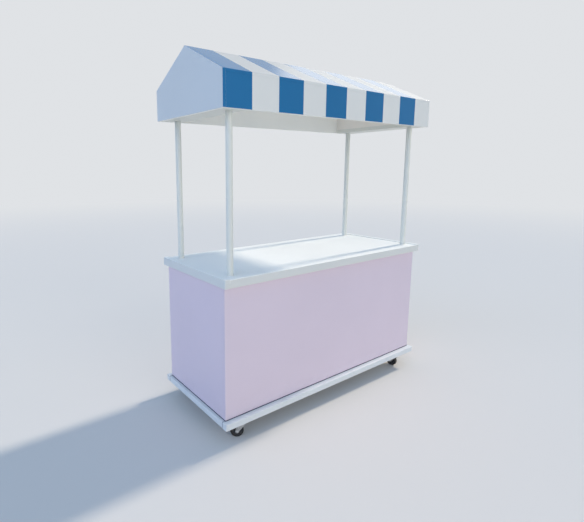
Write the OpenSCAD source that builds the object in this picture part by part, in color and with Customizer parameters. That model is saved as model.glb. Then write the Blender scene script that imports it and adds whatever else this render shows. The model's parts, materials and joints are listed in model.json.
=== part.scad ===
// Market stall: a closed counter with a worktop, four swivel castors under its base,
// four round poles and a pitched canopy made as a box of boards.
// Millimetres. The origin is on the floor at the plan centre; X runs along the counter,
// Y from the front to the back, Z up.

/* [Worktop] */
// Length of the worktop over its end boards
top_len = 1680; // [1500:10:2000]
// Depth of the worktop from front to back
top_depth = 690; // [600:10:800]
// Height of the worktop surface above the floor
top_height = 912; // [850:1:960]
// Thickness of the worktop
top_thick = 44; // [38:1:52]
// Width of the edge boards, seen from above
edge_w = 30; // [24:1:40]
// Height of the end boards above the worktop surface
end_proud = 4; // [2:1:8]
// Radius of the worktop's corners in plan
corner_r = 8; // [4:1:12]

/* [Counter] */
// Overhang of the worktop past the end panels
over_x = 17; // [12:1:30]
// Overhang of the worktop past the front and back panels
over_y = 33; // [25:1:45]
// Thickness of the counter's panels
panel_t = 18; // [12:1:22]

/* [Base] */
// Height of the base's edge boards
base_h = 36; // [30:1:45]
// Height of the shadow gap between the base's edge boards and the counter
gap_h = 5; // [3:1:8]
// Depth of the shadow gap behind the counter's faces
gap_d = 6; // [4:1:8]
// Thickness of the base panel
base_t = 18; // [12:1:22]
// Width of the battens that carry the castors
batten_w = 100; // [80:5:140]

/* [Castors] */
// Height of a castor from the floor to the base
castor_h = 100; // [98:1:112]
// Wheel diameter
wheel_d = 75; // [66:1:76]
// Width of the wheel's tread
wheel_w = 23; // [18:1:26]
// Distance of the wheel's axle behind the swivel axis
trail = 25; // [18:1:30]
// Distance of the swivel axis from the base's end
castor_in_x = 134; // [90:2:200]
// Distance of the swivel axis from the base's front or back edge
castor_in_y = 52; // [46:1:80]
// Swivel of the left castors from -X towards the middle of the stall, in degrees
left_swivel = 30; // [-180:5:180]
// Swivel of the right castors from -X towards the middle of the stall, in degrees
right_swivel = 90; // [-180:5:180]

/* [Poles] */
// Pole diameter
pole_d = 35; // [28:1:42]
// Distance of a pole's centre from the worktop's end
pole_in_x = 84; // [60:1:100]
// Distance of a pole's centre from the worktop's front or back edge
pole_in_y = 79; // [60:1:110]
// Depth of the socket for the pole's foot in the worktop
foot_depth = 25; // [15:1:30]
// Depth of the socket for the pole's head in the pole rail
head_depth = 18; // [12:1:20]

/* [Canopy] */
// Overhang of the canopy past the worktop's ends
canopy_over_x = 6; // [0:1:40]
// Overhang of the canopy past the worktop's front and back edges
canopy_over_y = 4; // [0:1:40]
// Clear height between the worktop and the canopy
clear_h = 821; // [700:1:1000]
// Height of the canopy's eaves above its lower edge
eaves_h = 173; // [120:1:220]
// Rise of the ridge above the eaves
ridge_rise = 173; // [120:1:240]
// Thickness of the gables, fascias and inner ends
board_t = 18; // [12:1:22]
// Thickness of the roof panels
roof_t = 14; // [9:1:18]
// Thickness of the pole rails
pole_rail_t = 25; // [22:1:32]
// Distance from a pole's centre to the inner edge of its rail
pole_rail_past = 60; // [36:1:75]

/* [Hidden] */
$fn = 64;

// Eased edge of the boards
ease = 1.5;
// Height of the joint between the roof panels and the boards that carry them
roof_joint = 0.1;
// Radial clearance of a pole in its socket
pole_fit = 0.2;
// Radial running clearance of the kingpin and the axle
run_fit = 0.05;
// Radial clearance of the axle bolt in the fork's arms
bolt_fit = 0.1;

half_len = top_len / 2;
half_depth = top_depth / 2;
top_under = top_height - top_thick;

body_x = half_len - over_x;
body_y = half_depth - over_y;

base_top = castor_h + base_h;
deck_top = base_top + gap_h;
deck_x = body_x - gap_d;
deck_y = body_y - gap_d;
deck_under = deck_top - base_t;

pole_x = half_len - pole_in_x;
pole_y = half_depth - pole_in_y;

can_x = half_len + canopy_over_x;
can_y = half_depth + canopy_over_y;
can_bot = top_height + clear_h;
eaves_z = can_bot + eaves_h;
ridge_z = eaves_z + ridge_rise;
slope = ridge_rise / can_y;
roof_drop = roof_t * sqrt(1 + slope * slope);
pole_rail_x = pole_x - pole_rail_past;

castor_x = half_len - castor_in_x;
castor_y = half_depth - castor_in_y;

// Castor: mounting plate, swivel race, kingpin and fork
plate_size = 60;
plate_t = 3;
plate_r = 6;
race_r = 20;
race_gap = 0.5;
kingpin_r = 6;
kingpin_head_r = 9;
kingpin_head_t = 3.5;
kingpin_gap = 0.3;
crown_t = 3;
crown_top = castor_h - 11.5;
crown_under = crown_top - crown_t;
crown_half = 20;
arm_t = 3;
arm_end_r = 11;
wheel_r = wheel_d / 2;
fork_gap = 5.2;
hub_gap = 0.4;
hub_half = wheel_w / 2 + fork_gap - hub_gap;
arm_in = wheel_w / 2 + fork_gap;
arm_out = arm_in + arm_t;
hub_r = 10;
axle_r = 4;
web_half = 4;
tread_depth = 8;
tread_round = 3;
bolt_head_r = 7.5;
bolt_head_t = 5;
nut_t = 6.5;
bolt_end = 2;

WHITE = [0.93, 0.94, 0.95];
LILAC = [0.84, 0.80, 0.87];
ZINC = [0.66, 0.67, 0.69];
BLACK = [0.05, 0.05, 0.055];

// Extrusion of a profile drawn in Y and Z along X
module along_x(x0, x1) {
  translate([x0, 0, 0])
    rotate([90, 0, 90])
      linear_extrude(x1 - x0)
        children();
}

// Extrusion of a profile drawn in X and Z along Y
module along_y(y0, y1) {
  translate([0, y1, 0])
    rotate([90, 0, 0])
      linear_extrude(y1 - y0)
        children();
}

// Extrusion of a plan upwards
module along_z(z0, z1) {
  translate([0, 0, z0])
    linear_extrude(z1 - z0)
      children();
}

// Points of one corner, cut by c along the directions a and b
function corner(p, a, b, c) = c > 0 ? [p + a * c, p + b * c] : [p];

// Outline of a rectangle with cuts c at its corners, counterclockwise from the lower left
function cut_rect(lo, hi, c) = concat(
  corner([lo[0], lo[1]], [0, 1], [1, 0], c[0]),
  corner([hi[0], lo[1]], [-1, 0], [0, 1], c[1]),
  corner([hi[0], hi[1]], [0, -1], [-1, 0], c[2]),
  corner([lo[0], hi[1]], [1, 0], [0, -1], c[3]));

module cut_rectangle(lo, hi, c) {
  polygon(cut_rect(lo, hi, c));
}

module block(lo, hi) {
  translate(lo)
    cube(hi - lo);
}

// A piece and its mirror image at the other end or on the other side
module at_right() {
  mirror([1, 0, 0])
    children();
}

module at_back() {
  mirror([0, 1, 0])
    children();
}

// Worktop
module pole_feet() {
  for (sx = [-1, 1])
    for (sy = [-1, 1])
      translate([sx * pole_x, sy * pole_y, top_height - foot_depth])
        cylinder(r = pole_d / 2 + pole_fit, h = foot_depth + 1);
}

module worktop_panel() {
  color(WHITE)
    difference() {
      block([-half_len + edge_w, -half_depth + edge_w, top_under],
        [half_len - edge_w, half_depth - edge_w, top_height]);
      pole_feet();
    }
}

module worktop_front_edge() {
  color(WHITE)
    along_x(-half_len + edge_w, half_len - edge_w)
      cut_rectangle([-half_depth, top_under], [-half_depth + edge_w, top_height],
        [ease, 0, 0, ease]);
}

module worktop_back_edge() {
  color(WHITE)
    at_back()
      worktop_front_edge();
}

module left_end_plan() {
  translate([-half_len + corner_r, -half_depth])
    square([edge_w - corner_r, top_depth]);
  translate([-half_len, -half_depth + corner_r])
    square([corner_r, top_depth - 2 * corner_r]);
  for (sy = [-1, 1])
    translate([-half_len + corner_r, sy * (half_depth - corner_r)])
      circle(r = corner_r);
}

module worktop_left_end() {
  end_top = top_height + end_proud;
  color(WHITE)
    intersection() {
      along_z(top_under, end_top)
        left_end_plan();
      along_y(-half_depth, half_depth)
        cut_rectangle([-half_len, top_under], [-half_len + edge_w, end_top],
          [ease, 0, ease, ease]);
      along_x(-half_len, -half_len + edge_w)
        cut_rectangle([-half_depth, top_under], [half_depth, end_top],
          [ease, ease, ease, ease]);
    }
}

module worktop_right_end() {
  color(WHITE)
    at_right()
      worktop_left_end();
}

// Counter
module front_panel() {
  color(LILAC)
    along_z(deck_top, top_under)
      cut_rectangle([-body_x, -body_y], [body_x, -body_y + panel_t], [ease, ease, 0, 0]);
}

module back_panel() {
  color(LILAC)
    at_back()
      front_panel();
}

module left_end_panel() {
  color(LILAC)
    block([-body_x, -body_y + panel_t, deck_top],
      [-body_x + panel_t, body_y - panel_t, top_under]);
}

module right_end_panel() {
  color(LILAC)
    at_right()
      left_end_panel();
}

// Base
// The base panel with the two battens under it that carry the castors
module base_panel() {
  color(WHITE) {
    block([-deck_x, -deck_y, deck_under], [deck_x, deck_y, deck_top]);
    for (sx = [-1, 1])
      translate([sx * castor_x - batten_w / 2, -deck_y, castor_h])
        cube([batten_w, 2 * deck_y, deck_under - castor_h]);
  }
}

module base_front_edge() {
  color(WHITE)
    intersection() {
      along_x(-half_len, half_len)
        cut_rectangle([-half_depth, castor_h], [-deck_y, base_top], [ease, 0, 0, ease]);
      along_z(castor_h, base_top)
        cut_rectangle([-half_len, -half_depth], [half_len, -deck_y], [ease, ease, 0, 0]);
    }
}

module base_back_edge() {
  color(WHITE)
    at_back()
      base_front_edge();
}

module base_left_edge() {
  color(WHITE)
    along_y(-deck_y, deck_y)
      cut_rectangle([-half_len, castor_h], [-deck_x, base_top], [ease, 0, 0, ease]);
}

module base_right_edge() {
  color(WHITE)
    at_right()
      base_left_edge();
}

// Poles
module pole(sx, sy) {
  color(WHITE)
    translate([sx * pole_x, sy * pole_y, top_height - foot_depth])
      cylinder(r = pole_d / 2, h = foot_depth + clear_h + head_depth);
}

module front_left_pole() { pole(-1, -1); }
module front_right_pole() { pole(1, -1); }
module back_left_pole() { pole(-1, 1); }
module back_right_pole() { pole(1, 1); }

// Canopy
// Height above the floor of the boards under the roof, at the distance y from the ridge
function under_roof_z(y) = ridge_z - slope * abs(y) - roof_drop - roof_joint;

module front_fascia() {
  y1 = -can_y + board_t;
  color(WHITE)
    along_x(-can_x + board_t, can_x - board_t)
      polygon([[-can_y, can_bot], [y1, can_bot], [y1, under_roof_z(y1)],
        [-can_y, under_roof_z(can_y)]]);
}

module back_fascia() {
  color(WHITE)
    at_back()
      front_fascia();
}

module left_gable() {
  color(WHITE)
    along_x(-can_x, -can_x + board_t)
      polygon([[-can_y, can_bot], [can_y, can_bot], [can_y, eaves_z], [0, ridge_z],
        [-can_y, eaves_z]]);
}

module right_gable() {
  color(WHITE)
    at_right()
      left_gable();
}

module front_roof_panel() {
  color(WHITE)
    along_x(-can_x + board_t, can_x - board_t)
      polygon([[-can_y, eaves_z - roof_drop], [0, ridge_z - roof_drop], [0, ridge_z],
        [-can_y, eaves_z]]);
}

module back_roof_panel() {
  color(WHITE)
    at_back()
      front_roof_panel();
}

module left_pole_rail() {
  y1 = can_y - board_t;
  color(WHITE)
    difference() {
      block([-can_x + board_t, -y1, can_bot], [-pole_rail_x, y1, can_bot + pole_rail_t]);
      for (sy = [-1, 1])
        translate([-pole_x, sy * pole_y, can_bot - 1])
          cylinder(r = pole_d / 2 + pole_fit, h = head_depth + 1);
    }
}

module right_pole_rail() {
  color(WHITE)
    at_right()
      left_pole_rail();
}

module left_inner_end() {
  y1 = can_y - board_t;
  z0 = can_bot + pole_rail_t;
  color(WHITE)
    along_x(-pole_rail_x - board_t, -pole_rail_x)
      polygon([[-y1, z0], [y1, z0], [y1, under_roof_z(y1)], [0, under_roof_z(0)],
        [-y1, under_roof_z(y1)]]);
}

module right_inner_end() {
  color(WHITE)
    at_right()
      left_inner_end();
}

// Castors, each drawn with its swivel axis on the Z axis and its wheel towards -X
module at_castor(sx, sy) {
  translate([sx * castor_x, sy * castor_y, 0])
    children();
}

module at_fork(sx, sy) {
  at_castor(sx, sy)
    rotate([0, 0, sy * (sx < 0 ? left_swivel : right_swivel)])
      children();
}

module plate_plan() {
  half = plate_size / 2;
  square([plate_size - 2 * plate_r, plate_size], center = true);
  square([plate_size, plate_size - 2 * plate_r], center = true);
  for (sx = [-1, 1])
    for (sy = [-1, 1])
      translate([sx * (half - plate_r), sy * (half - plate_r)])
        circle(r = plate_r);
}

module castor_plate(sx, sy) {
  plate_under = castor_h - plate_t;
  head_top = crown_under - kingpin_gap;
  color(ZINC)
    at_castor(sx, sy) {
      along_z(plate_under, castor_h)
        plate_plan();
      translate([0, 0, crown_top + race_gap])
        cylinder(r1 = race_r, r2 = race_r + 3, h = plate_under - crown_top - race_gap);
      translate([0, 0, head_top - kingpin_head_t])
        cylinder(r = kingpin_head_r, h = kingpin_head_t);
      translate([0, 0, head_top - 1])
        cylinder(r = kingpin_r, h = plate_under - head_top + 1);
    }
}

// Side view of a fork arm: from the crown down to the rounded end at the axle
module arm_shape() {
  difference() {
    union() {
      polygon([[-crown_half, crown_top], [-trail - arm_end_r, wheel_r],
        [-trail + arm_end_r, wheel_r], [crown_half, crown_top - 12],
        [crown_half, crown_top]]);
      translate([-trail, wheel_r])
        circle(r = arm_end_r);
    }
    translate([-trail, wheel_r])
      circle(r = axle_r + bolt_fit);
  }
}

module castor_fork(sx, sy) {
  color(ZINC)
    at_fork(sx, sy) {
      difference() {
        block([-crown_half, -arm_out, crown_under], [crown_half, arm_out, crown_top]);
        translate([0, 0, crown_under - 1])
          cylinder(r = kingpin_r + run_fit, h = crown_t + 2);
      }
      along_y(-arm_out, -arm_in)
        arm_shape();
      along_y(arm_in, arm_out)
        arm_shape();
    }
}

module castor_axle(sx, sy) {
  color(ZINC)
    at_fork(sx, sy)
      translate([-trail, 0, wheel_r])
        rotate([sy * 90, 0, 0]) {
          translate([0, 0, -arm_out])
            cylinder(r = axle_r, h = 2 * arm_out + nut_t + bolt_end);
          translate([0, 0, -arm_out - bolt_head_t])
            cylinder(r = bolt_head_r, h = bolt_head_t, $fn = 6);
          translate([0, 0, arm_out])
            cylinder(r = bolt_head_r, h = nut_t, $fn = 6);
        }
}

// Half section of the wheel, as radius and distance from its middle plane
module wheel_section() {
  bore = axle_r + run_fit;
  rim = wheel_r - tread_depth;
  half = wheel_w / 2;
  polygon([[bore, -hub_half], [hub_r, -hub_half], [hub_r, -web_half], [rim, -web_half],
    [rim, -half + 1], [rim + 1, -half], [wheel_r - tread_round, -half],
    [wheel_r, -half + tread_round], [wheel_r, half - tread_round],
    [wheel_r - tread_round, half], [rim + 1, half], [rim, half - 1], [rim, web_half],
    [hub_r, web_half], [hub_r, hub_half], [bore, hub_half]]);
}

module castor_wheel(sx, sy) {
  color(BLACK)
    at_fork(sx, sy)
      translate([-trail, 0, wheel_r])
        rotate([90, 0, 0])
          rotate_extrude()
            wheel_section();
}

module front_left_castor_plate() { castor_plate(-1, -1); }
module front_right_castor_plate() { castor_plate(1, -1); }
module back_left_castor_plate() { castor_plate(-1, 1); }
module back_right_castor_plate() { castor_plate(1, 1); }
module front_left_fork() { castor_fork(-1, -1); }
module front_right_fork() { castor_fork(1, -1); }
module back_left_fork() { castor_fork(-1, 1); }
module back_right_fork() { castor_fork(1, 1); }
module front_left_axle() { castor_axle(-1, -1); }
module front_right_axle() { castor_axle(1, -1); }
module back_left_axle() { castor_axle(-1, 1); }
module back_right_axle() { castor_axle(1, 1); }
module front_left_wheel() { castor_wheel(-1, -1); }
module front_right_wheel() { castor_wheel(1, -1); }
module back_left_wheel() { castor_wheel(-1, 1); }
module back_right_wheel() { castor_wheel(1, 1); }

worktop_panel();
worktop_front_edge();
worktop_back_edge();
worktop_left_end();
worktop_right_end();
front_panel();
back_panel();
left_end_panel();
right_end_panel();
base_panel();
base_front_edge();
base_back_edge();
base_left_edge();
base_right_edge();
front_left_pole();
front_right_pole();
back_left_pole();
back_right_pole();
front_fascia();
back_fascia();
left_gable();
right_gable();
front_roof_panel();
back_roof_panel();
left_pole_rail();
right_pole_rail();
left_inner_end();
right_inner_end();
front_left_castor_plate();
front_right_castor_plate();
back_left_castor_plate();
back_right_castor_plate();
front_left_fork();
front_right_fork();
back_left_fork();
back_right_fork();
front_left_axle();
front_right_axle();
back_left_axle();
back_right_axle();
front_left_wheel();
front_right_wheel();
back_left_wheel();
back_right_wheel();
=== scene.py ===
import json
import math

import bmesh
import bpy
from mathutils import Matrix, Vector


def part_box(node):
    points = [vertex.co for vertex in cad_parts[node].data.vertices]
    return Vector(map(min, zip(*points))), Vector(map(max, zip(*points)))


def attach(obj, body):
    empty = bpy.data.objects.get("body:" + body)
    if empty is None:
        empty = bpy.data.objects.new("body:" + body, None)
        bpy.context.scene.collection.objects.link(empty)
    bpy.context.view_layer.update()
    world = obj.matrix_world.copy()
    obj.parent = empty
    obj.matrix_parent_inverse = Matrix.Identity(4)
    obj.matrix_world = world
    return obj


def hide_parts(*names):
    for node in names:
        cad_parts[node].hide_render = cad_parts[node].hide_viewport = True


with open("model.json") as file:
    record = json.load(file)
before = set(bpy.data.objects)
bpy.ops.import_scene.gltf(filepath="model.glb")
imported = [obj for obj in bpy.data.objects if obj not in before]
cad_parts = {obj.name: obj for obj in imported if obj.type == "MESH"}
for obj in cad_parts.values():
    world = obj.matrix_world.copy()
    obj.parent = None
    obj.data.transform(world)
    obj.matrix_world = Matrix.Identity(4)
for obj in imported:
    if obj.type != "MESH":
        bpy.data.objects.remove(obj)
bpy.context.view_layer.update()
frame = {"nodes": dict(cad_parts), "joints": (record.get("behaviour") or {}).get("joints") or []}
NODES = frame["nodes"]

# Camera fitted to the photograph: place in metres, direction in radians
CAM_AT = (-1.9351, -1.9883, 1.4522)
CAM_YAW = 0.6154
CAM_PITCH = -0.1631
CAM_ROLL = -0.0049
CAM_LENS = 25.62
CAM_SHIFT = (0.0960, -0.0397)

# Height of the roof panel's lower edge below the eaves
ROOF_DROP = 0.0156

# Stripes of the canopy, counted over its whole length
STRIPES = 10
# Depth below a painted outer face that still counts as that face
SKIN = 0.0012
# Widths of the eased edges of boards, of boards that meet flush and of pressed metal
BOARD_EASE = 0.0012
JOINT_EASE = 0.0002
METAL_EASE = 0.0004

# Colours of paints and materials
LILAC = (0.698, 0.602, 0.692)
WORKTOP_WHITE = (0.885, 0.890, 0.865)
# Worktop's upright faces: the worktop's white, darker as painted shade
LIP_WHITE_SHADED = (0.700, 0.710, 0.690)
BASE_WHITE = (0.712, 0.742, 0.760)
POLE_WHITE = (0.725, 0.735, 0.685)
CANOPY_WHITE = (0.740, 0.745, 0.720)
# Gables: the canopy's white, darker and bluer as painted shade
GABLE_WHITE_SHADED = (0.605, 0.650, 0.685)
# Roof: the canopy's white, darker as painted shade
ROOF_WHITE_SHADED = (0.530, 0.545, 0.545)
# Pole rails and their screws: the canopy's white, darker as painted shade
RAIL_WHITE_SHADED = (0.700, 0.700, 0.640)
# Inside of the canopy: the canopy's white, lighter and warmer as painted bounce light
INSIDE_WHITE_LIT = (0.920, 0.910, 0.860)
INNER_END_WHITE = (0.820, 0.780, 0.720)
STRIPE_BLUE = (0.011, 0.150, 0.345)
BARE_WOOD = (0.430, 0.330, 0.210)
# Painted shade in the narrow gap under the counter
GAP_PAINTED_SHADE = (0.120, 0.125, 0.190)
JOINT_DARK = (0.150, 0.155, 0.220)
ZINC = (0.60, 0.61, 0.62)
ZINC_DULL = (0.36, 0.37, 0.38)
RUBBER = (0.012, 0.012, 0.013)
CORE_GREY = (0.050, 0.051, 0.055)
DUST = (0.095, 0.085, 0.068)

# Floor, backdrop and the sky that lights the object
FLOOR_GREY = (0.675, 0.660, 0.640)
BACKDROP = (0.745, 0.765, 0.790)
SKY = (0.330, 0.465, 0.645)
# Half the width of the floor
FLOOR_HALF = 40.0
# Distances from the object between which the floor turns into the backdrop
FADE_FROM = 5.0
FADE_TO = 18.0

WORKTOP = ("worktop_panel", "worktop_front_edge", "worktop_back_edge",
           "worktop_left_end", "worktop_right_end")
COUNTER = ("front_panel", "back_panel", "left_end_panel", "right_end_panel")
BASE = ("base_panel", "base_front_edge", "base_back_edge", "base_left_edge",
        "base_right_edge")
POLES = ("front_left_pole", "front_right_pole", "back_left_pole", "back_right_pole")
CANOPY = ("front_fascia", "back_fascia", "left_gable", "right_gable",
          "front_roof_panel", "back_roof_panel")
POLE_RAILS = ("left_pole_rail", "right_pole_rail")
INNER_ENDS = ("left_inner_end", "right_inner_end")
PLACES = ("front_left", "front_right", "back_left", "back_right")


# Node helpers
class Graph:
    """A material's node tree with short calls for the nodes used here."""

    def __init__(self, name):
        self.material = bpy.data.materials.new(name)
        self.material.use_nodes = True
        self.tree = self.material.node_tree
        self.shader = self.tree.nodes["Principled BSDF"]
        coords = self.tree.nodes.new("ShaderNodeTexCoord")
        self.point = coords.outputs["Object"]
        geometry = self.tree.nodes.new("ShaderNodeNewGeometry")
        self.normal = geometry.outputs["Normal"]

    def link(self, value, socket):
        if isinstance(value, bpy.types.NodeSocket):
            self.tree.links.new(value, socket)
        elif isinstance(value, tuple) and len(value) == 3 and socket.type == "RGBA":
            socket.default_value = (*value, 1.0)
        else:
            socket.default_value = value

    def math(self, operation, a, b=0.0):
        node = self.tree.nodes.new("ShaderNodeMath")
        node.operation = operation
        self.link(a, node.inputs[0])
        self.link(b, node.inputs[1])
        return node.outputs[0]

    def split(self, vector):
        node = self.tree.nodes.new("ShaderNodeSeparateXYZ")
        self.link(vector, node.inputs[0])
        return node.outputs

    def scaled(self, scale):
        node = self.tree.nodes.new("ShaderNodeMapping")
        self.link(self.point, node.inputs["Vector"])
        node.inputs["Scale"].default_value = scale
        return node.outputs[0]

    def noise(self, scale, detail=3.0, rough=0.5, vector=None):
        node = self.tree.nodes.new("ShaderNodeTexNoise")
        self.link(self.point if vector is None else vector, node.inputs["Vector"])
        node.inputs["Scale"].default_value = scale
        node.inputs["Detail"].default_value = detail
        node.inputs["Roughness"].default_value = rough
        return node.outputs["Fac"]

    def ramp(self, factor, low, high, out_low=0.0, out_high=1.0):
        node = self.tree.nodes.new("ShaderNodeMapRange")
        self.link(factor, node.inputs["Value"])
        node.inputs["From Min"].default_value = low
        node.inputs["From Max"].default_value = high
        node.inputs["To Min"].default_value = out_low
        node.inputs["To Max"].default_value = out_high
        return node.outputs["Result"]

    def mix(self, factor, a, b):
        node = self.tree.nodes.new("ShaderNodeMix")
        node.data_type = "RGBA"
        self.link(factor, node.inputs["Factor"])
        self.link(a, node.inputs["A"])
        self.link(b, node.inputs["B"])
        return node.outputs["Result"]

    def bump(self, height, distance, strength=1.0, under=None):
        node = self.tree.nodes.new("ShaderNodeBump")
        self.link(height, node.inputs["Height"])
        node.inputs["Distance"].default_value = distance
        node.inputs["Strength"].default_value = strength
        if under is not None:
            self.link(under, node.inputs["Normal"])
        return node.outputs["Normal"]

    def finish(self, colour, roughness, normal=None):
        self.link(colour, self.shader.inputs["Base Color"])
        self.link(roughness, self.shader.inputs["Roughness"])
        if normal is not None:
            self.link(normal, self.shader.inputs["Normal"])
        return self.material


def shade(colour, factor):
    return tuple(channel * factor for channel in colour)


def near_edges(g, box, width):
    """1 on the edges of a box, falling to 0 at width from them."""
    gaps = []
    for value, low, high in zip(g.split(g.point), box[0], box[1]):
        below = g.math("SUBTRACT", value, low)
        above = g.math("SUBTRACT", high, value)
        gaps.append(g.math("MINIMUM", below, above))
    a, b, c = gaps
    middle = g.math("MAXIMUM", g.math("MINIMUM", a, b),
                    g.math("MINIMUM", g.math("MAXIMUM", a, b), c))
    return g.ramp(middle, width, 0.0)


def paint_relief(g, grain_axis, strength=0.5):
    """Fine roller stipple over a faint wood grain that runs along grain_axis."""
    stretch = [60.0, 60.0, 60.0]
    stretch[grain_axis] = 2.5
    grain = g.noise(1.0, 3.0, 0.55, g.scaled(tuple(stretch)))
    stipple = g.noise(420.0, 1.0, 0.5)
    waves = g.noise(7.0, 1.0, 0.4)
    lower = g.bump(waves, 0.0005, strength)
    middle = g.bump(grain, 0.00005, strength, lower)
    return g.bump(stipple, 0.00001, strength, middle)


def paint_tone(g, colour, spread=0.02):
    """Broad shifts of tone and fine mottling of one coat of paint."""
    clouds = g.noise(1.7, 3.0, 0.5)
    fine = g.noise(26.0, 5.0, 0.65)
    tone = g.mix(g.ramp(clouds, 0.3, 0.7), shade(colour, 1.0 - spread),
                 shade(colour, 1.0 + spread))
    return g.mix(g.ramp(fine, 0.5, 0.85, 0.0, 0.16), tone, shade(colour, 0.94))


def rubbed(g, tone, colour, box):
    """Edges where the paint is rubbed thin, and a few small chips down to the wood."""
    edge = near_edges(g, box, 0.0035)
    patches = g.noise(34.0, 4.0, 0.65)
    thin = g.math("MULTIPLY", edge, g.ramp(patches, 0.42, 0.62, 0.0, 0.55))
    chips = g.math("MULTIPLY", edge, g.ramp(g.noise(120.0, 3.0, 0.6), 0.64, 0.67))
    deep = g.math("MULTIPLY", chips, g.ramp(patches, 0.5, 0.6))
    worn = g.mix(thin, tone, shade(colour, 1.04))
    return g.mix(g.math("MULTIPLY", deep, 0.7), worn, BARE_WOOD)


def board_joint(g):
    """1 along the joints between the base's long edge boards and its end boards."""
    x, y, z = g.split(g.point)
    joint = -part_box("base_left_edge")[0].y
    off = g.math("ABSOLUTE", g.math("SUBTRACT", g.math("ABSOLUTE", y), joint))
    line = g.ramp(off, 0.0014, 0.0026, 1.0, 0.0)
    end = g.math("GREATER_THAN", g.math("ABSOLUTE", x), -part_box("front_panel")[0].x)
    low = g.math("LESS_THAN", z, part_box("base_front_edge")[1].z + 0.0005)
    return g.math("MULTIPLY", line, g.math("MULTIPLY", end, low))


def shadow_gap(g):
    """1 inside the narrow gap between the counter and the base's edge boards, where painted shade
    darkens the colour.
    """
    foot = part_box("front_panel")[0]
    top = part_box("base_front_edge")[1].z
    x, y, z = g.split(g.point)
    inside = g.math("MULTIPLY",
                    g.math("LESS_THAN", g.math("ABSOLUTE", x), -foot.x + 0.0002),
                    g.math("LESS_THAN", g.math("ABSOLUTE", y), -foot.y + 0.0002))
    between = g.math("MULTIPLY", g.math("GREATER_THAN", z, top - 0.0003),
                     g.math("LESS_THAN", z, foot.z + 0.0006))
    return g.math("MULTIPLY", inside, between)


def painted(name, colour, grain_axis, box, roughness=0.38, specular=0.4, soil=0.0,
            relief=0.5, patchy=0.06, upright=None):
    """Satin paint on one board, in a darker tone on its upright faces as painted shade if one is
    given.
    """
    g = Graph(name)
    tone = paint_tone(g, colour)
    if upright is not None:
        level = g.math("ABSOLUTE", g.split(g.normal)[2])
        tone = g.mix(g.ramp(level, 0.5, 0.8), paint_tone(g, upright), tone)
    tone = rubbed(g, tone, colour, box)
    if soil > 0.0:
        height = g.split(g.point)[2]
        low = g.ramp(height, 0.26, 0.12, 0.0, soil)
        patch = g.math("MULTIPLY", low, g.ramp(g.noise(11.0, 5.0, 0.7), 0.45, 0.75))
        tone = g.mix(patch, tone, shade(colour, 0.74))
    # Painted shade: the narrow gap under the counter is coloured dark
    tone = g.mix(shadow_gap(g), tone, GAP_PAINTED_SHADE)
    tone = g.mix(board_joint(g), tone, JOINT_DARK)
    rough = g.ramp(g.noise(12.0, 2.0, 0.5), 0.35, 0.7, roughness - patchy, roughness + patchy)
    g.shader.inputs["Specular IOR Level"].default_value = specular
    return g.finish(tone, rough, paint_relief(g, grain_axis, relief))


def striped(name, grain_axis):
    """White paint, glossier on the roof, with blue stripes outside; lighter and warmer inside as
    painted bounce light, darker on the roof and gables as painted shade.
    """
    g = Graph(name)
    low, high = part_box("left_gable")
    right_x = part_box("right_gable")[1].x
    length = right_x - low.x
    eaves_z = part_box("front_roof_panel")[0].z + ROOF_DROP
    slope = (high.z - eaves_z) / high.y
    x, y, z = g.split(g.point)
    nx = g.split(g.normal)[0]
    off_axis = g.math("ABSOLUTE", y)
    roof_here = g.math("SUBTRACT", high.z, g.math("MULTIPLY", off_axis, slope))
    on_roof = g.math("GREATER_THAN", z, g.math("SUBTRACT", roof_here, SKIN))
    on_fascia = g.math("GREATER_THAN", off_axis, high.y - SKIN)
    on_side = g.math("MAXIMUM", on_roof, on_fascia)
    on_gable = g.math("GREATER_THAN", g.math("ABSOLUTE", x), right_x - SKIN)
    outside = g.math("MAXIMUM", on_side, on_gable)
    band = g.math("DIVIDE", g.math("SUBTRACT", x, low.x), length / STRIPES)
    white_band = g.math("FLOOR", g.math("MODULO", band, 2.0))
    sideways = g.math("LESS_THAN", g.math("ABSOLUTE", nx), 0.72)
    above = g.math("GREATER_THAN", z, low.z + SKIN)
    mask = g.math("MULTIPLY", g.math("SUBTRACT", 1.0, white_band),
                  g.math("MULTIPLY", g.math("MULTIPLY", on_side, sideways), above))
    # Painted shade: the roof gets a darker white
    white = g.mix(on_roof, paint_tone(g, CANOPY_WHITE), paint_tone(g, ROOF_WHITE_SHADED))
    # Painted shade: the gables get a darker, bluer white
    white = g.mix(on_gable, white, paint_tone(g, GABLE_WHITE_SHADED))
    blue = paint_tone(g, STRIPE_BLUE, 0.05)
    # Painted bounce light: the inside gets a lighter, warmer white
    tone = g.mix(mask, g.mix(outside, paint_tone(g, INSIDE_WHITE_LIT), white), blue)
    rough = g.math("SUBTRACT", g.ramp(on_roof, 0.0, 1.0, 0.43, 0.37),
                   g.math("MULTIPLY", mask, 0.16))
    g.shader.inputs["Specular IOR Level"].default_value = 0.22
    return g.finish(tone, rough, paint_relief(g, grain_axis, 0.08))


def metal(name, colour, dull, roughness=0.34):
    """Zinc plating: fine mottling and a dull bloom."""
    g = Graph(name)
    spangle = g.noise(160.0, 3.0, 0.6)
    bloom = g.noise(45.0, 4.0, 0.6)
    tone = g.mix(g.ramp(spangle, 0.35, 0.7), dull, colour)
    rough = g.ramp(bloom, 0.3, 0.75, roughness - 0.08, roughness + 0.16)
    g.shader.inputs["Metallic"].default_value = 1.0
    return g.finish(tone, rough, g.bump(g.noise(700.0, 2.0, 0.5), 0.00003, 0.5))


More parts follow.
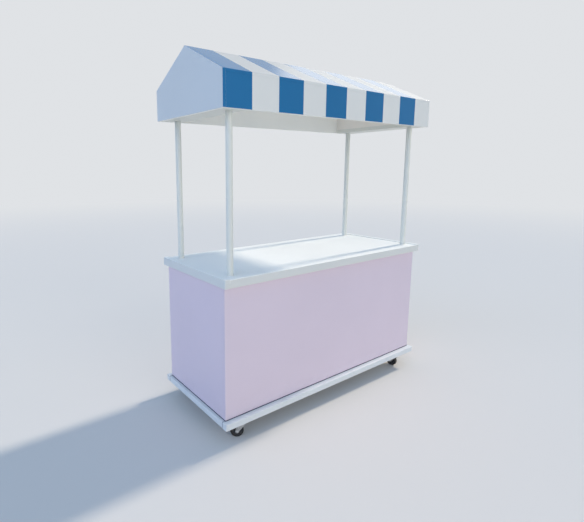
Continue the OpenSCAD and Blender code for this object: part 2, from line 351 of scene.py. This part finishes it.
def radius_of(g):
    """Distance from the local Z axis, the turning axis of a wheel."""
    x, y, _ = g.split(g.point)
    return g.math("SQRT", g.math("ADD", g.math("MULTIPLY", x, x),
                                 g.math("MULTIPLY", y, y)))


def tyre_material(name):
    """Black rubber, scuffed and dusty on its tread."""
    g = Graph(name)
    tread = g.ramp(radius_of(g), 0.0345, 0.0372)
    dust = g.math("MULTIPLY", tread, g.ramp(g.noise(90.0, 5.0, 0.7), 0.38, 0.75, 0.05, 0.6))
    tone = g.mix(dust, g.mix(g.noise(60.0, 3.0, 0.5), RUBBER, shade(RUBBER, 1.8)), DUST)
    rough = g.ramp(dust, 0.0, 0.6, 0.52, 0.85)
    return g.finish(tone, rough, g.bump(g.noise(600.0, 3.0, 0.6), 0.00008, 0.6))


def core_material(name):
    """Dark grey moulded plastic with dust in its recess."""
    g = Graph(name)
    z = g.split(g.point)[2]
    recess = g.ramp(g.math("ABSOLUTE", z), 0.009, 0.004)
    dust = g.math("MULTIPLY", recess, g.ramp(g.noise(70.0, 4.0, 0.65), 0.4, 0.8, 0.0, 0.45))
    tone = g.mix(dust, CORE_GREY, DUST)
    rough = g.ramp(g.noise(220.0, 2.0, 0.5), 0.3, 0.7, 0.36, 0.50)
    return g.finish(tone, rough, g.bump(g.noise(900.0, 2.0, 0.5), 0.00003, 0.5))


# Mesh helpers
def mesh_object(name, bm, materials, body, place=None, smooth=35.0):
    """A piece made of a bmesh, with its materials, riding on a body."""
    bmesh.ops.recalc_face_normals(bm, faces=bm.faces)
    mesh = bpy.data.meshes.new(name)
    bm.to_mesh(mesh)
    bm.free()
    for face in mesh.polygons:
        face.use_smooth = True
    mesh.set_sharp_from_angle(angle=math.radians(smooth))
    piece = bpy.data.objects.new(name, mesh)
    bpy.context.scene.collection.objects.link(piece)
    if place is not None:
        piece.matrix_world = place
        bpy.context.view_layer.update()
    for material in materials:
        mesh.materials.append(material)
    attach(piece, body)
    return piece


def ring(bm, profile, steps, place=Matrix(), material=0):
    """A ring turned round local Z from a closed outline of (radius, height) points."""
    rings = []
    for k in range(steps):
        angle = 2.0 * math.pi * k / steps
        c, s = math.cos(angle), math.sin(angle)
        rings.append([bm.verts.new(place @ Vector((r * c, r * s, h)))
                      for r, h in profile])
    count = len(profile)
    for k in range(steps):
        this, following = rings[k], rings[(k + 1) % steps]
        for i in range(count):
            j = (i + 1) % count
            face = bm.faces.new((this[i], following[i], following[j], this[j]))
            face.material_index = material


def turned(bm, profile, steps, place=Matrix()):
    """A solid turned round local Z; its profile of (radius, height) starts and ends on the axis."""
    start = bm.verts.new(place @ Vector((0.0, 0.0, profile[0][1])))
    end = bm.verts.new(place @ Vector((0.0, 0.0, profile[-1][1])))
    rings = []
    for k in range(steps):
        angle = 2.0 * math.pi * k / steps
        c, s = math.cos(angle), math.sin(angle)
        rings.append([bm.verts.new(place @ Vector((r * c, r * s, h)))
                      for r, h in profile[1:-1]])
    for k in range(steps):
        this, following = rings[k], rings[(k + 1) % steps]
        bm.faces.new((start, following[0], this[0]))
        bm.faces.new((end, this[-1], following[-1]))
        for i in range(len(this) - 1):
            bm.faces.new((this[i], following[i], following[i + 1], this[i + 1]))


def hexagon(bm, across, height, place):
    """A hexagon head or nut with the turned chamfer of a real one on its outer face."""
    outer = across / math.sqrt(3.0)
    rim = across / 2.0 * 0.96
    drop = (outer - rim) * 0.5
    low, high, top = [], [], []
    for k in range(12):
        angle = math.pi * k / 6.0
        on_corner = k % 2 == 0
        radius = outer if on_corner else across / 2.0
        side = height - (drop if on_corner else drop * 0.25)
        c, s = math.cos(angle), math.sin(angle)
        low.append(bm.verts.new(place @ Vector((radius * c, radius * s, 0.0))))
        high.append(bm.verts.new(place @ Vector((radius * c, radius * s, side))))
        top.append(bm.verts.new(place @ Vector((rim * c, rim * s, height))))
    for k in range(12):
        n = (k + 1) % 12
        bm.faces.new((low[k], low[n], high[n], high[k]))
        bm.faces.new((high[k], high[n], top[n], top[k]))
    bm.faces.new(list(reversed(low)))
    bm.faces.new(top)


def arc(centre, radius, start, stop, steps):
    """Points of an arc in the (radius, height) plane, angles in degrees."""
    points = []
    for k in range(steps + 1):
        angle = math.radians(start + (stop - start) * k / steps)
        points.append((centre[0] + radius * math.cos(angle),
                       centre[1] + radius * math.sin(angle)))
    return points


# Camera, with the photograph's place, direction and framing
def make_camera():
    forward = Vector((math.sin(CAM_YAW) * math.cos(CAM_PITCH),
                      math.cos(CAM_YAW) * math.cos(CAM_PITCH), math.sin(CAM_PITCH)))
    right = forward.cross(Vector((0.0, 0.0, 1.0))).normalized()
    up = right.cross(forward)
    across = math.cos(CAM_ROLL) * right + math.sin(CAM_ROLL) * up
    upright = math.cos(CAM_ROLL) * up - math.sin(CAM_ROLL) * right
    axes = Matrix((across, upright, -forward)).transposed()
    data = bpy.data.cameras.new("camera")
    data.lens = CAM_LENS
    data.sensor_width = 36.0
    data.shift_x, data.shift_y = CAM_SHIFT
    data.clip_end = 60.0
    camera = bpy.data.objects.new("camera", data)
    camera.matrix_world = Matrix.Translation(CAM_AT) @ axes.to_4x4()
    bpy.context.scene.collection.objects.link(camera)
    bpy.context.scene.camera = camera


make_camera()


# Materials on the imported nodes, with eased edges as a modifier
def dress(name, material, ease=BOARD_EASE, segments=3):
    node = NODES[name]
    if not node.material_slots:
        node.data.materials.append(material)
    for entry in node.material_slots:
        entry.material = material
    weld = node.modifiers.new("weld", "WELD")
    weld.merge_threshold = 0.00002
    if ease > 0.0:
        bevel = node.modifiers.new("ease", "BEVEL")
        bevel.width = ease
        bevel.segments = segments
        bevel.limit_method = "ANGLE"
        bevel.angle_limit = math.radians(30.0)
        bevel.harden_normals = True


X_GRAIN, Y_GRAIN, Z_GRAIN = 0, 1, 2


def grain_of(name):
    """Grain along the longest side of a board."""
    low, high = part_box(name)
    size = high - low
    return max(range(3), key=lambda axis: size[axis])


for name in COUNTER:
    dress(name, painted("counter_lilac_" + name, LILAC, Z_GRAIN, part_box(name),
                        roughness=0.42, specular=0.35, soil=0.3))
# The worktop's upright faces get a darker white as painted shade
for name in WORKTOP:
    dress(name, painted("worktop_white_" + name, WORKTOP_WHITE, grain_of(name),
                        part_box(name), roughness=0.45, specular=0.0, relief=0.12,
                        patchy=0.02, upright=LIP_WHITE_SHADED),
          ease=JOINT_EASE, segments=2)
for name in BASE:
    dress(name, painted("base_white_" + name, BASE_WHITE, grain_of(name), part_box(name),
                        roughness=0.40, specular=0.15, soil=0.3))
for name in POLES:
    dress(name, painted("pole_white_" + name, POLE_WHITE, Z_GRAIN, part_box(name),
                        roughness=0.40, specular=0.15),
          ease=0.0)
# The pole rails get a darker white as painted shade
for name in POLE_RAILS:
    dress(name, painted("canopy_white_" + name, RAIL_WHITE_SHADED, Y_GRAIN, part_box(name),
                        roughness=0.45))
for name in INNER_ENDS:
    dress(name, painted("canopy_white_" + name, INNER_END_WHITE, Y_GRAIN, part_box(name),
                        roughness=0.5))
canopy_paint = striped("canopy_striped", X_GRAIN)
for name in CANOPY:
    dress(name, canopy_paint)

zinc = metal("zinc_steel", ZINC, ZINC_DULL)
bright_zinc = metal("zinc_bolts", shade(ZINC, 1.25), ZINC, roughness=0.28)
tyre = tyre_material("wheel_tyre")
core = core_material("wheel_core")


# Castors
JOINTS = {joint["name"]: joint for joint in frame["joints"]}


def axle_frame(place_name):
    """Placement with its origin in the wheel's middle and its Z axis along the axle."""
    joint = JOINTS[place_name + "_wheel_spin"]
    axis = Vector(joint["axis"]).normalized()
    upright = Vector((0.0, 0.0, 1.0))
    across = upright.cross(axis)
    axes = Matrix((across, upright, axis)).transposed()
    return Matrix.Translation(Vector(joint["pos_m"])) @ axes.to_4x4()


def wheel_piece(place_name):
    """Tyre on a ribbed plastic core, turned about the axle."""
    node = place_name + "_wheel"
    low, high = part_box(node)
    radius = (high.z - low.z) / 2.0
    hub_half, half = 0.0163, 0.0115
    bore, hub = 0.00405, 0.0100
    tread_depth, shoulder = 0.0080, 0.0034
    ribs, first_rib = 6, 0.3
    rim = radius - tread_depth
    bm = bmesh.new()
    side = half - shoulder
    tyre_outline = [(rim - 0.0004, -half + 0.0008), (rim + 0.0006, -half),
                    (rim + 0.0024, -half), (rim + 0.0028, -half + 0.0003),
                    (rim + 0.0032, -half)]
    tyre_outline += arc((radius - shoulder, -side), shoulder, -90.0, 0.0, 6)
    tyre_outline += [(radius, -0.0003), (radius - 0.00012, 0.0), (radius, 0.0003)]
    tyre_outline += arc((radius - shoulder, side), shoulder, 0.0, 90.0, 6)
    tyre_outline += [(rim + 0.0032, half), (rim + 0.0028, half - 0.0003),
                     (rim + 0.0024, half), (rim + 0.0006, half), (rim - 0.0004, half - 0.0008)]
    ring(bm, tyre_outline, 72, material=0)
    lip = rim - 0.0026
    left = [(bore, -hub_half), (hub - 0.0007, -hub_half), (hub, -hub_half + 0.0007),
            (hub + 0.0004, -0.0052), (hub + 0.0016, -0.0040), (lip - 0.0020, -0.0040),
            (lip - 0.0006, -0.0054), (lip, -half + 0.0016), (lip + 0.0005, -half + 0.0010),
            (rim - 0.0002, -half + 0.0010)]
    right = [(r, -h) for r, h in reversed(left)]
    ring(bm, left + right, 72, material=1)
    for k in range(ribs):
        angle = 2.0 * math.pi * k / ribs + first_rib
        for face in (-1.0, 1.0):
            rib(bm, angle, face, hub - 0.0010, lip + 0.0010)
    piece = mesh_object(place_name + "_wheel_detail", bm, (tyre, core),
                        place_name + "_rolling_wheel",
                        axle_frame(place_name))
    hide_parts(node)


def rib(bm, angle, face, inner, outer):
    """One radial rib between hub and rim, on one face of the wheel's web."""
    thick = 0.0009
    turn = Matrix.Rotation(angle, 4, "Z")
    outline = [(inner, 0.0030), (outer, 0.0030), (outer, 0.0085), (inner, 0.0115)]
    sides = []
    for y in (-thick, thick):
        sides.append([bm.verts.new(turn @ Vector((r, y, face * h))) for r, h in outline])
    faces = [bm.faces.new(sides[0]), bm.faces.new(list(reversed(sides[1])))]
    for i in range(4):
        j = (i + 1) % 4
        faces.append(bm.faces.new((sides[0][i], sides[1][i], sides[1][j], sides[0][j])))
    for one in faces:
        one.material_index = 1


def axle_piece(place_name, turned_round):
    """Hexagon bolt through the fork with its nut and threaded end towards the middle."""
    node = place_name + "_axle"
    across, shank = 0.0130, 0.0040
    arm_out, head, nut, stub = 0.0197, 0.0050, 0.0065, 0.0020
    end = arm_out + nut + stub
    bm = bmesh.new()
    thread = [(0.0, -arm_out - 0.0005), (shank, -arm_out - 0.0005), (shank, arm_out + nut)]
    pitch = 0.00125
    at = arm_out + nut
    while at + pitch < end - 0.0004:
        thread += [(shank - 0.0001, at + 0.0001), (shank - 0.0006, at + pitch * 0.5),
                   (shank - 0.0001, at + pitch)]
        at += pitch
    thread += [(shank - 0.0007, end), (0.0, end)]
    turned(bm, thread, 32)
    hexagon(bm, across, nut, Matrix.Translation((0.0, 0.0, arm_out)))
    hexagon(bm, across, head,
            Matrix.Translation((0.0, 0.0, -arm_out)) @ Matrix.Rotation(math.pi, 4, "X"))
    turn = Matrix.Rotation(math.pi if turned_round else 0.0, 4, "X")
    piece = mesh_object(place_name + "_axle_bolt", bm, (bright_zinc,),
                        place_name + "_swivel_fork",
                        axle_frame(place_name) @ turn, smooth=25.0)
    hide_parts(node)


def plate_fixings(place_name):
    """Rolled cover of the ball race, and the four bolts with washers through the plate."""
    low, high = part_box(place_name + "_castor_plate")
    centre = (low + high) / 2.0
    plate, bolt_at = 0.0030, 0.0220
    across, head, washer_height = 0.0090, 0.0036, 0.0012
    under = high.z - plate
    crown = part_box(place_name + "_fork")[1].z
    bm = bmesh.new()
    cover = [(0.0150, under - 0.0002), (0.0238, under - 0.0002), (0.0240, under - 0.0012),
             (0.0235, under - 0.0022), (0.0222, under - 0.0030), (0.0212, crown + 0.0016),
             (0.0205, crown + 0.0009), (0.0150, crown + 0.0009)]
    ring(bm, cover, 56, Matrix.Translation((centre.x, centre.y, 0.0)))
    for sx in (-1.0, 1.0):
        for sy in (-1.0, 1.0):
            spot = Vector((centre.x + sx * bolt_at, centre.y + sy * bolt_at, under))
            down = Matrix.Translation(spot) @ Matrix.Rotation(math.pi, 4, "X")
            washer = [(0.0, 0.0), (0.0058, 0.0), (0.0060, 0.0003), (0.0060, 0.0009),
                      (0.0057, washer_height), (0.0, washer_height)]
            turned(bm, washer, 28, down)
            twist = Matrix.Rotation(0.7 * sx + 0.4 * sy, 4, "Z")
            on_washer = down @ Matrix.Translation((0.0, 0.0, washer_height))
            hexagon(bm, across, head, on_washer @ twist)
    mesh_object(place_name + "_plate_bolts", bm, (bright_zinc,), "stall",
                smooth=25.0)


for place_name in PLACES:
    dress(place_name + "_castor_plate", zinc, ease=METAL_EASE, segments=2)
    dress(place_name + "_fork", zinc, ease=METAL_EASE, segments=2)
    wheel_piece(place_name)
    axle_piece(place_name, place_name.startswith("back"))
    plate_fixings(place_name)


# Screws of the pole rails: distance from the rail's edge and places from front to back
SCREW_IN = 0.018
SCREW_ROWS = (-0.310, -0.105, 0.105, 0.310)


def rail_screws(name):
    """Countersunk screws, painted over, in the underside of a pole rail."""
    low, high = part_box(name)
    bm = bmesh.new()
    for x in (low.x + SCREW_IN, high.x - SCREW_IN):
        for y in SCREW_ROWS:
            spot = Matrix.Translation((x, y, low.z)) @ Matrix.Rotation(math.pi, 4, "X")
            head = [(0.0, 0.00005), (0.0011, 0.00005), (0.0014, 0.00035), (0.0036, 0.00040),
                    (0.0041, 0.00015), (0.0042, -0.0006), (0.0, -0.0006)]
            turned(bm, head, 24, spot)
    mesh_object(name + "_screws", bm,
                (painted("screw_white_" + name, RAIL_WHITE_SHADED, Y_GRAIN, (low, high),
                         roughness=0.4),),
                "stall")


for name in POLE_RAILS:
    rail_screws(name)


# Floor, backdrop and lights
def seen_or_lit(tree, seen, lit):
    """A colour that is one thing to the camera and in reflections, another as light."""
    rays = tree.nodes.new("ShaderNodeLightPath")
    either = rays.outputs["Is Camera Ray"]
    for other in ("Is Glossy Ray", "Is Transmission Ray"):
        node = tree.nodes.new("ShaderNodeMath")
        node.operation = "MAXIMUM"
        tree.links.new(either, node.inputs[0])
        tree.links.new(rays.outputs[other], node.inputs[1])
        either = node.outputs[0]
    mix = tree.nodes.new("ShaderNodeMix")
    mix.data_type = "RGBA"
    tree.links.new(either, mix.inputs["Factor"])
    mix.inputs["A"].default_value = (*lit, 1.0)
    mix.inputs["B"].default_value = (*seen, 1.0)
    return mix.outputs["Result"]


def make_stage():
    """A pale floor that keeps the shadow and turns into the backdrop far away."""
    material = bpy.data.materials.new("stage")
    material.use_nodes = True
    tree = material.node_tree
    shader = tree.nodes["Principled BSDF"]
    shader.inputs["Base Color"].default_value = (*FLOOR_GREY, 1.0)
    shader.inputs["Roughness"].default_value = 1.0
    shader.inputs["Specular IOR Level"].default_value = 0.0
    coords = tree.nodes.new("ShaderNodeTexCoord")
    distance = tree.nodes.new("ShaderNodeVectorMath")
    distance.operation = "LENGTH"
    tree.links.new(coords.outputs["Object"], distance.inputs[0])
    fade = tree.nodes.new("ShaderNodeMapRange")
    fade.interpolation_type = "SMOOTHSTEP"
    fade.inputs["From Min"].default_value = FADE_FROM
    fade.inputs["From Max"].default_value = FADE_TO
    tree.links.new(distance.outputs["Value"], fade.inputs["Value"])
    glow = tree.nodes.new("ShaderNodeEmission")
    tree.links.new(seen_or_lit(tree, BACKDROP, SKY), glow.inputs["Color"])
    mix = tree.nodes.new("ShaderNodeMixShader")
    tree.links.new(fade.outputs["Result"], mix.inputs["Fac"])
    tree.links.new(shader.outputs[0], mix.inputs[1])
    tree.links.new(glow.outputs[0], mix.inputs[2])
    tree.links.new(mix.outputs[0], tree.nodes["Material Output"].inputs["Surface"])
    bm = bmesh.new()
    bmesh.ops.create_grid(bm, x_segments=1, y_segments=1, size=FLOOR_HALF)
    mesh = bpy.data.meshes.new("floor")
    bm.to_mesh(mesh)
    bm.free()
    floor = bpy.data.objects.new("floor", mesh)
    bpy.context.scene.collection.objects.link(floor)
    mesh.materials.append(material)


def towards(azimuth, elevation):
    """Unit vector at azimuth degrees from +X towards +Y and elevation above the floor."""
    a, e = math.radians(azimuth), math.radians(elevation)
    return Vector((math.cos(a) * math.cos(e), math.sin(a) * math.cos(e), math.sin(e)))


def sun(name, azimuth, elevation, strength, spread, colour):
    data = bpy.data.lights.new(name, "SUN")
    data.energy = strength
    data.angle = math.radians(spread)
    data.color = colour
    lamp = bpy.data.objects.new(name, data)
    lamp.rotation_mode = "QUATERNION"
    lamp.rotation_quaternion = towards(azimuth, elevation).to_track_quat("Z", "Y")
    bpy.context.scene.collection.objects.link(lamp)


def softbox(name, azimuth, elevation, distance, size, radiance, colour):
    """A rectangular lamp that faces the canopy and shows only in reflections."""
    data = bpy.data.lights.new(name, "AREA")
    data.shape = "RECTANGLE"
    data.size, data.size_y = size
    data.energy = radiance * math.pi * size[0] * size[1]
    data.color = colour
    lamp = bpy.data.objects.new(name, data)
    away = towards(azimuth, elevation)
    lamp.location = Vector((0.0, 0.0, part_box("front_fascia")[1].z)) + away * distance
    lamp.rotation_mode = "QUATERNION"
    lamp.rotation_quaternion = away.to_track_quat("Z", "Y")
    lamp.visible_camera = False
    lamp.visible_diffuse = False
    bpy.context.scene.collection.objects.link(lamp)


def make_world():
    world = bpy.data.worlds.new("world")
    world.use_nodes = True
    tree = world.node_tree
    background = tree.nodes["Background"]
    tree.links.new(seen_or_lit(tree, BACKDROP, SKY), background.inputs["Color"])
    bpy.context.scene.world = world


make_stage()
make_world()
sun("key", 0.5, 32.3, 2.78, 4.0, (1.0, 0.880, 0.72))
sun("fill", -84.0, 12.0, 0.96, 40.0, (1.0, 0.85, 0.62))
sun("left_fill", 190.0, 28.0, 0.90, 60.0, (0.61, 0.72, 1.0))
softbox("softbox", 28.0, 22.0, 6.0, (3.2, 2.8), 1.1, (1.0, 0.94, 0.83))

bpy.context.scene.view_settings.view_transform = "Standard"
